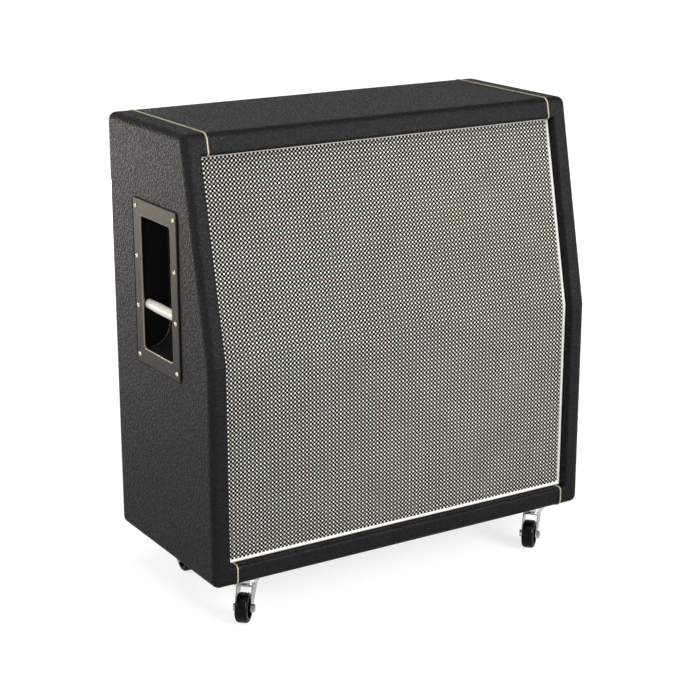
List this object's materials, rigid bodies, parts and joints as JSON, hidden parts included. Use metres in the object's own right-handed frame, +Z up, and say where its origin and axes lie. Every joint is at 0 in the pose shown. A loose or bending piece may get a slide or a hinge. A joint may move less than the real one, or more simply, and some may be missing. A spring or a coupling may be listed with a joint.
{
  "type": "guitar speaker cabinet",
  "caption": "Slant-front guitar speaker cabinet in black pebbled covering, with a check grille cloth edged in pale piping, recessed side handles and swivel castors.",
  "frame": {"origin": "on the floor, under the middle of the shell", "axes": "+Z up, +Y from the grille to the back panel, +X to the right hand of someone facing the grille"},
  "size_m": [0.7792, 0.3787, 0.8295],
  "materials": {
    "plywood": "matte",
    "pebbled_vinyl": "satin",
    "check_cloth": "matte",
    "white_piping": "satin",
    "gold_piping": "satin",
    "handle_steel": "satin",
    "pale_grip": "satin",
    "nickel_screw": "polished",
    "black_screw": "satin",
    "black_sheet": "satin",
    "black_plastic": "matte",
    "bright_nut": "polished",
    "basket_paint": "satin",
    "gasket_board": "matte",
    "cone_paper": "matte",
    "motor_steel": "satin",
    "ferrite": "matte",
    "spider_cloth": "matte",
    "castor_chrome": "polished",
    "axle_steel": "satin",
    "black_tread": "matte",
    "lead_sheath": "matte"
  },
  "bodies": {
    "cabinet": {"back_cleats": "plywood", "back_covering": "pebbled_vinyl", "back_panel": "plywood", "back_screws": "black_screw", "bottom_covering": "pebbled_vinyl", "bottom_panel": "plywood", "castor_sockets": "castor_chrome", "castor_stems": "castor_chrome", "centre_post": "plywood", "front_lip_frame": "plywood", "grille_cloth": "check_cloth", "grille_frame": "plywood", "grille_piping": "white_piping", "handle_grips": "pale_grip", "handle_screws": "nickel_screw", "jack_dish": "black_sheet", "jack_nut": "bright_nut", "jack_socket": "black_plastic", "left_covering": "pebbled_vinyl", "left_handle_dish": "handle_steel", "left_seam_piping": "gold_piping", "left_side_panel": "plywood", "lower_baffle": "plywood", "right_covering": "pebbled_vinyl", "right_handle_dish": "handle_steel", "right_seam_piping": "gold_piping", "right_side_panel": "plywood", "speaker_baskets": "basket_paint", "speaker_gaskets": "gasket_board", "speaker_leads": "lead_sheath", "speaker_magnets": "ferrite", "speaker_spiders": "spider_cloth", "speaker_surrounds": "cone_paper", "speaker_terminals": "black_plastic", "speaker_top_plates": "motor_steel", "speaker_yokes": "motor_steel", "top_covering": "pebbled_vinyl", "top_panel": "plywood", "upper_baffle": "plywood"},
    "castor_front_left": {"castor_fork_front_left": "castor_chrome", "castor_axle_front_left": "axle_steel"},
    "wheel_front_left": {"castor_wheel_front_left": "black_tread"},
    "castor_front_right": {"castor_fork_front_right": "castor_chrome", "castor_axle_front_right": "axle_steel"},
    "wheel_front_right": {"castor_wheel_front_right": "black_tread"},
    "castor_rear_left": {"castor_fork_rear_left": "castor_chrome", "castor_axle_rear_left": "axle_steel"},
    "wheel_rear_left": {"castor_wheel_rear_left": "black_tread"},
    "castor_rear_right": {"castor_fork_rear_right": "castor_chrome", "castor_axle_rear_right": "axle_steel"},
    "wheel_rear_right": {"castor_wheel_rear_right": "black_tread"},
    "cone_1": {"speaker_cone_1": "cone_paper"},
    "cone_2": {"speaker_cone_2": "cone_paper"},
    "cone_3": {"speaker_cone_3": "cone_paper"},
    "cone_4": {"speaker_cone_4": "cone_paper"}
  },
  "joints": [
    {"name": "castor_swivel_front_left", "type": "hinge", "parent": "cabinet", "child": "castor_front_left", "pos_m": [-0.305, -0.1485, 0.06], "axis": [0, 0, 1], "continuous": true},
    {"name": "castor_spin_front_left", "type": "hinge", "parent": "castor_front_left", "child": "wheel_front_left", "pos_m": [-0.32478, -0.16971, 0.026], "axis": [0.7314, -0.682, 0], "continuous": true},
    {"name": "castor_swivel_front_right", "type": "hinge", "parent": "cabinet", "child": "castor_front_right", "pos_m": [0.305, -0.1485, 0.06], "axis": [0, 0, 1], "continuous": true},
    {"name": "castor_spin_front_right", "type": "hinge", "parent": "castor_front_right", "child": "wheel_front_right", "pos_m": [0.28345, -0.1679, 0.026], "axis": [0.6691, -0.7431, 0], "continuous": true},
    {"name": "castor_swivel_rear_left", "type": "hinge", "parent": "cabinet", "child": "castor_rear_left", "pos_m": [-0.305, 0.1055, 0.06], "axis": [0, 0, 1], "continuous": true},
    {"name": "castor_spin_rear_left", "type": "hinge", "parent": "castor_rear_left", "child": "wheel_rear_left", "pos_m": [-0.30803, 0.07666, 0.026], "axis": [0.9945, -0.1045, 0], "continuous": true},
    {"name": "castor_swivel_rear_right", "type": "hinge", "parent": "cabinet", "child": "castor_rear_right", "pos_m": [0.305, 0.1055, 0.06], "axis": [0, 0, 1], "continuous": true},
    {"name": "castor_spin_rear_right", "type": "hinge", "parent": "castor_rear_right", "child": "wheel_rear_right", "pos_m": [0.29508, 0.07825, 0.026], "axis": [0.9397, -0.342, 0], "continuous": true},
    {"name": "cone_travel_1", "type": "slide", "parent": "cabinet", "child": "cone_1", "axis": [0, 1, 0], "range_m": [-0.002, 0.002], "stiffness_N_per_m": 7800},
    {"name": "cone_travel_2", "type": "slide", "parent": "cabinet", "child": "cone_2", "axis": [0, 1, 0], "range_m": [-0.002, 0.002], "stiffness_N_per_m": 7800},
    {"name": "cone_travel_3", "type": "slide", "parent": "cabinet", "child": "cone_3", "axis": [0, 0.9783, -0.2074], "range_m": [-0.002, 0.002], "stiffness_N_per_m": 7800},
    {"name": "cone_travel_4", "type": "slide", "parent": "cabinet", "child": "cone_4", "axis": [0, 0.9783, -0.2074], "range_m": [-0.002, 0.002], "stiffness_N_per_m": 7800}
  ]
}
